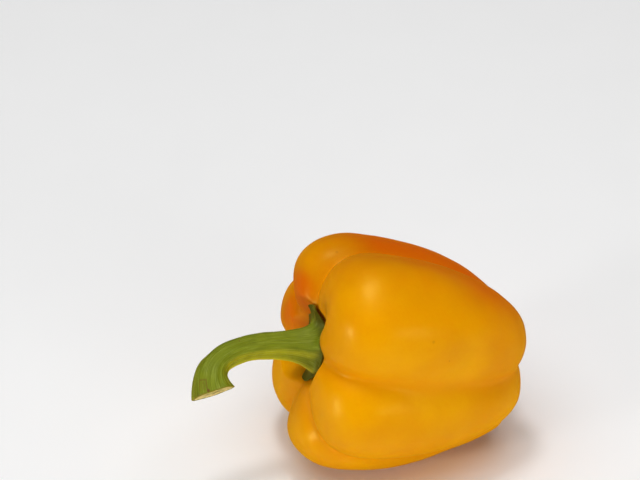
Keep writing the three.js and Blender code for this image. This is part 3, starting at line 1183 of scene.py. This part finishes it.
@dataclass
class Stem:
    """The stem with its calyx.

    Lengths are millimetres, and angles are degrees. A pair of numbers is where a smooth step starts and
    ends. Each ring of the lip has its distance before the stem's end and what it keeps of the radius,
    and each bruise has an azimuth, a distance along the stem and a radius.
    """

    fruit: Fruit
    form: StemForm = StemForm()
    columns: int = 288
    under_rings: int = 16
    edge_rings: int = 3
    collar_rings: int = 30
    side_rings: int = 190
    edge_bulge: float = 0.35
    coarse: Streaks = Streaks(seed=7, fewest=9, most=21)
    coarse_depth: float = 0.18
    foot_grooves: float = 0.55
    groove_growth: Pair = (0.35, 0.65)
    fine: Streaks = Streaks(seed=19, fewest=24, most=52, wander=0.05)
    fine_depth: float = 0.11
    lumps: Waves = Waves(seed=3, length=7)
    lumps_depth: float = 0.22
    collar_start: float = -7.0
    lip_width: float = 0.45
    lip: tuple[tuple[float, float], ...] = ((0.15, 0.985), (0.0, 0.955), (0.0, 0.93), (0.5, 0.92))
    lip_relief: tuple[float, ...] = (1.0, 0.5, 0.0)
    # The underside is painted yellower and brighter: partly the stem's own tone, partly painted bounce light
    # from the floor below.
    yellow_facing: Pair = (0.3, -0.7)
    yellow_start: Pair = (-4.0, 4.0)
    yellow_share: float = 0.9
    calyx_waves: Waves = Waves(seed=31, length=5)
    calyx_unevenness: float = 2.5
    calyx_fade: Pair = (2.0, -4.5)
    calyx_share: float = 0.9
    dry_unevenness: float = 0.5
    dry_fade: Pair = (-0.5, 0.1)
    dry_share: float = 0.55
    bud_scar: BudScar = BudScar()
    bruises: tuple[tuple[float, float, float], ...] = ((67, 51.8, 0.5), (345, 51.9, 0.5), (72, 31, 0.25))
    bruise_fade: Pair = (1.4, 0.6)

    def __post_init__(self) -> None:
        """Works out the columns and the stem's length."""
        self.turns = FULL_TURN * np.arange(self.columns) / self.columns
        self.length = self.form.length()

    def rows(self, values: np.ndarray | list[float]) -> tuple[np.ndarray, np.ndarray]:
        """A grid of the columns' azimuths by some values.

        Args:
            values: One value for each ring.

        Returns:
            The azimuths and the values, each as rings by columns.
        """
        return np.meshgrid(self.turns, values)

    def ring(self, before_end: float, keep: float) -> np.ndarray:
        """One ring of the side, some way before the stem's end, with a part of the radius kept."""
        return self.form.side(*self.rows([self.length - before_end]), keep=keep)

    def calyx_rings(self) -> np.ndarray:
        """The calyx from the middle of its underside to its edge and up the collar to the side.

        Returns:
            Its points, as rings by columns by 3.
        """
        under = self.rows(np.arange(1, self.under_rings + 1) / self.under_rings)
        low = self.form.underside(self.fruit.form, *under)
        collar = self.rows(np.linspace(0, 1, self.collar_rings + 1))
        high = self.form.collar(self.fruit.form, *collar)
        turn = np.linspace(0, math.pi, self.edge_rings + 2)[1:-1, None, None]
        middle = (low[-1] + high[0]) / 2
        out = low[-1] - low[-2]
        out /= np.linalg.norm(out, axis=-1, keepdims=True)
        round_edge = middle + (low[-1] - middle) * np.cos(turn) + out * (self.edge_bulge * np.sin(turn))
        return np.concatenate([low, round_edge, high])

    def build(self) -> bpy.types.Object:
        """Makes the stem and calyx in place of their CAD node.

        Returns:
            The dressed piece.
        """
        calyx = self.calyx_rings()
        start, stop = self.form.collar_height, self.length - self.lip_width
        distances = np.linspace(start, stop, self.side_rings + 1)[1:]
        side = self.form.side(*self.rows(distances))
        plain = np.concatenate([calyx, side, *(self.ring(before_end, keep) for before_end, keep in self.lip)])
        hidden = self.under_rings + self.edge_rings
        run = np.concatenate([
            np.full(hidden, self.collar_start),
            np.linspace(self.collar_start, start, self.collar_rings + 1),
            distances,
            np.full(len(self.lip), self.length),
        ])
        azimuth, distance = self.rows(run)
        depth = self.relief(plain, azimuth, distance)
        depth[:hidden] = 0
        inner = len(self.lip_relief)
        depth[-inner:] = depth[-inner - 1] * np.array(self.lip_relief)[:, None]
        rings = plain[::-1] - depth[::-1, :, None] * outward(plain[::-1])
        tip = rings[0].mean(axis=0)
        foot = self.form.underside(self.fruit.form, np.zeros(1), np.zeros(1))[0]
        piece = ringed_mesh("stem_and_calyx", tip, rings, foot, self.fruit.place)
        self.tell(piece, plain[::-1], azimuth[::-1], distance[::-1])
        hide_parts("stem")
        dress(piece, StemGreen().material(), Slot.GREEN)
        return piece

    def relief(self, points: np.ndarray, azimuth: np.ndarray, distance: np.ndarray) -> np.ndarray:
        """How far each point lies below the plain form.

        Args:
            points: The plain points.
            azimuth: Their azimuths, in radians.
            distance: Their distances along the stem, less than 0 on the calyx.

        Returns:
            The depths in millimetres.
        """
        strength = self.foot_grooves + (1 - self.foot_grooves) * smooth_step(
            distance / self.length, *self.groove_growth
        )
        grooves = self.coarse_depth * self.coarse.at(azimuth, distance) * strength
        grooves += self.fine_depth * self.fine.at(azimuth, distance)
        return grooves + self.lumps_depth * self.lumps.at(points)

    def tell(
        self, piece: bpy.types.Object, points: np.ndarray, azimuth: np.ndarray, distance: np.ndarray
    ) -> None:
        """Stores what the stem's material reads.

        Args:
            piece: The stem's piece.
            points: Its plain points, ring by ring.
            azimuth: Their azimuths, in radians.
            distance: Their distances along the stem, in millimetres.
        """
        grain = np.stack([np.cos(azimuth), np.sin(azimuth), distance], axis=-1)
        tell_points(piece, "grain", grain, ((0, 0, self.length), (0, 0, self.collar_start)))
        # Points that face down as the pepper lies get painted bounce light, mixed with the underside's
        # yellower tone.
        facing = outward(points) @ self.fruit.place.turn[2]
        under = smooth_step(facing, *self.yellow_facing) * smooth_step(distance, *self.yellow_start)
        tell_points(piece, "underside_tone_and_light", self.yellow_share * under)
        waves = self.calyx_waves.at(points)
        calyx = smooth_step(distance + self.calyx_unevenness * (waves - 0.5), *self.calyx_fade)
        tell_points(piece, "calyx", self.calyx_share * calyx, (0.0, self.calyx_share))
        dry = smooth_step(distance - self.length + self.dry_unevenness * waves, *self.dry_fade)
        tell_points(piece, "dry", self.dry_share * dry, (self.dry_share, 0.0))
        tell_points(piece, "spot", self.marks(azimuth, distance))

    def marks(self, azimuth: np.ndarray, distance: np.ndarray) -> np.ndarray:
        """The bud's scar and the bruises, from 0 to 1.

        Args:
            azimuth: Angles round the stem, in radians.
            distance: Distances along it, in millimetres.

        Returns:
            How brown each place is.
        """
        brown = self.bud_scar.outline(azimuth, distance)
        for turn, along, radius in self.bruises:
            away = np.hypot(self.bud_scar.stem_radius * around(azimuth, turn), distance - along)
            brown = np.maximum(brown, smooth_step(away / radius, *self.bruise_fade))
        return brown


@dataclass
class CutFace:
    """The fibrous cut end, a shallow plug in the stem's lip.

    Lengths are millimetres. The back rings and the edge have what they keep of the stem's radius, and a
    pair of numbers is where a smooth step starts and ends, as shares of the way from the face's middle.
    """

    stem: Stem
    rings: int = 26
    radius_share: float = 0.93
    core_share: float = 0.03
    sink: float = 0.08
    edge_sink: float = 0.5
    edge_share: float = 0.94
    back_sink: float = 1.4
    back_shares: tuple[float, ...] = (0.1, 0.5, 0.84)
    fibres: Waves = Waves(seed=29, length=2.2)
    fibre_depth: float = 0.28
    fibre_fade: Pair = (1.05, 0.85)
    bowl_depth: float = 0.25
    bowl_fade: Pair = (1.0, 0.3)

    def build(self) -> bpy.types.Object:
        """Makes the cut end.

        Returns:
            The dressed piece.
        """
        ring = self.stem.ring
        shares = np.linspace(self.core_share, 1.0, self.rings)
        front = [ring(self.sink, self.radius_share * share) for share in shares]
        back = [ring(self.back_sink, share) for share in self.back_shares[::-1]]
        plain = np.concatenate([*front, ring(self.edge_sink, self.edge_share), *back])
        depth = np.zeros(plain.shape[:2])
        uneven = self.fibre_depth * self.fibres.at(plain[:self.rings])
        bowl = self.bowl_depth * smooth_step(shares, *self.bowl_fade)[:, None]
        depth[:self.rings] = uneven * smooth_step(shares, *self.fibre_fade)[:, None] + bowl
        rings = plain - depth[..., None] * outward(plain)
        tips = rings[0].mean(axis=0), rings[-1].mean(axis=0)
        piece = ringed_mesh("stem_cut_face", tips[0], rings, tips[1], self.stem.fruit.place)
        azimuth, out = self.stem.rows(np.concatenate([shares, np.ones(len(back) + 1)]))
        tell_points(piece, "from_middle", out, (0.0, 1.0))
        grain = np.stack([np.cos(azimuth), np.sin(azimuth), out], axis=-1)
        tell_points(piece, "grain", grain, ((0, 0, 0), (0, 0, 1)))
        dress(piece, CutEnd().material(), Slot.GREEN)
        return piece


def heading(azimuth: float, elevation: float) -> Vector:
    """The unit vector from the object towards a viewer or a light.

    Args:
        azimuth: 0 in front, at -Y, and growing towards +X, in degrees.
        elevation: Above the horizon, in degrees.

    Returns:
        The vector.
    """
    a, e = math.radians(azimuth), math.radians(elevation)
    return Vector((math.sin(a) * math.cos(e), -math.cos(a) * math.cos(e), math.sin(e)))


@dataclass(frozen=True)
class Softbox:
    """One soft studio light, by the direction that it shines from. Sizes are metres.

    One that isn't mirrored lights the pepper without a reflection on it.
    """

    name: str
    azimuth: float
    elevation: float
    distance: float
    width: float
    height: float
    power: float
    mirrored: bool = True

    def build(self, target: Vector) -> None:
        """Makes the light.

        Args:
            target: The point that it is turned to.
        """
        data = bpy.data.lights.new(self.name, "AREA")
        data.shape = "ELLIPSE"
        data.size, data.size_y = self.width, self.height
        data.energy = self.power
        light = bpy.data.objects.new(self.name, data)
        light.visible_glossy = self.mirrored
        back = heading(self.azimuth, self.elevation)
        light.location = target + back * self.distance
        light.rotation_euler = (-back).to_track_quat("-Z", "Y").to_euler()
        bpy.context.scene.collection.objects.link(light)


@dataclass(frozen=True)
class PhotoCamera:
    """The camera at the photograph's viewing angle. Lengths are metres, and pixels are the photograph's."""

    azimuth: float = -17.3
    elevation: float = 36.63
    roll: float = -0.07
    distance: float = 1.2
    pixels_per_metre: float = 2727
    target_pixel: tuple[float, float] = (404, 352)
    image: tuple[int, int] = (640, 480)
    sensor_width: float = 36

    def build(self, target: Vector) -> None:
        """Makes the camera and aims it so that the target falls on its pixel.

        Args:
            target: The middle of the fruit's own frame.
        """
        data = bpy.data.cameras.new("photo_camera")
        data.sensor_width = self.sensor_width
        data.lens = self.pixels_per_metre * self.distance * self.sensor_width / self.image[0]
        camera = bpy.data.objects.new("photo_camera", data)
        back = heading(self.azimuth, self.elevation)
        upright = back.to_track_quat("Z", "Y").to_matrix()
        rolled = Matrix.Rotation(math.radians(self.roll), 3, back) @ upright
        right, up = rolled.col[0], rolled.col[1]
        across = (self.target_pixel[0] - self.image[0] / 2) / self.pixels_per_metre
        down = (self.target_pixel[1] - self.image[1] / 2) / self.pixels_per_metre
        aim = target - right * across + up * down
        camera.location = target + back * self.distance
        towards = (camera.location - aim).normalized()
        swing = back.rotation_difference(towards).to_matrix()
        camera.rotation_euler = (swing @ rolled).to_euler()
        bpy.context.scene.collection.objects.link(camera)
        bpy.context.scene.camera = camera


@dataclass(frozen=True)
class Studio:
    """A plain pale floor under soft light, and the camera."""

    floor_size: float = 12.0
    floor_colour: Colour = (0.97, 0.97, 0.97, 1.0)
    floor_roughness: Pair = (0.6, 0.75)
    upper_surround: Colour = (0.05, 0.05, 0.05, 1.0)
    lower_surround: Colour = (0.55, 0.264, 0.006, 1.0)
    horizon_softness: float = 0.02
    softboxes: tuple[Softbox, ...] = (
        Softbox("overhead_softbox", -150, 84, 0.9, 0.18, 0.18, 1.7),
        Softbox("left_softbox", -74, 9, 0.9, 0.15, 0.15, 2.1),
        Softbox("front_softbox", 29, 18, 1.0, 0.4, 0.2, 0.9),
        Softbox("fill_panel", -60, 84, 2.4, 3.4, 3.4, 50, mirrored=False),
        Softbox("low_fill_panel", 12, 4, 1.8, 1.6, 0.24, 12, mirrored=False),
    )
    camera: PhotoCamera = PhotoCamera()

    def build(self, target: Vector) -> None:
        """Makes the floor, the light and the camera.

        Args:
            target: The middle of the fruit's own frame.
        """
        bpy.context.scene.view_settings.view_transform = "Standard"
        self.build_floor()
        self.build_surround()
        for softbox in self.softboxes:
            softbox.build(target)
        self.camera.build(target)

    def build_surround(self) -> None:
        """Makes the surround: dim white above the floor, and golden below it.

        The floor hides the golden part from all but the gloss, which it warms at the skin's edges.
        """
        world = bpy.data.worlds.new("surround")
        world.use_nodes = True
        tree = world.node_tree
        place = tree.nodes.new("ShaderNodeTexCoord")
        parts = tree.nodes.new("ShaderNodeSeparateXYZ")
        tree.links.new(place.outputs["Generated"], parts.inputs["Vector"])
        above = tree.nodes.new("ShaderNodeMapRange")
        tree.links.new(parts.outputs["Z"], above.inputs["Value"])
        above.inputs["From Min"].default_value = -self.horizon_softness
        above.inputs["From Max"].default_value = 0.0
        mixed = tree.nodes.new("ShaderNodeMix")
        mixed.data_type = "RGBA"
        tree.links.new(above.outputs["Result"], mixed.inputs["Factor"])
        lower, upper = [socket for socket in mixed.inputs if socket.type == "RGBA"]
        lower.default_value = self.lower_surround
        upper.default_value = self.upper_surround
        result = next(socket for socket in mixed.outputs if socket.type == "RGBA")
        tree.links.new(result, tree.nodes["Background"].inputs["Color"])
        bpy.context.scene.world = world

    def build_floor(self) -> None:
        """Makes the floor with a faint unevenness in its gloss."""
        half = self.floor_size / 2
        corners = [(-half, -half, 0), (half, -half, 0), (half, half, 0), (-half, half, 0)]
        mesh = bpy.data.meshes.new("pale_floor")
        mesh.from_pydata(corners, [], [(0, 1, 2, 3)])
        floor = bpy.data.objects.new("pale_floor", mesh)
        bpy.context.scene.collection.objects.link(floor)
        recipe = Recipe("pale_matte_floor")
        noise = recipe.noise(recipe.own_place(), scale=40)
        recipe.surface(self.floor_colour, recipe.spread(noise, 0.3, 0.7, *self.floor_roughness))
        recipe.constants(Specular_IOR_Level=0.2)
        mesh.materials.append(recipe.material)
        floor.visible_glossy = False


def main() -> None:
    """Builds the pepper's pieces, then the studio."""
    logging.basicConfig(level=logging.INFO, format="%(name)s: %(message)s")
    fruit = Fruit()
    stem = Stem(fruit)
    for piece in (fruit.build(), stem.build(), CutFace(stem).build()):
        log.info("%s has %d faces", piece.name, len(piece.data.polygons))
    Studio().build(Vector(fruit.place.origin))
    log.info("the fruit's middle is at %s", [round(value, 5) for value in fruit.place.origin])


if __name__ == "__main__":
    main()
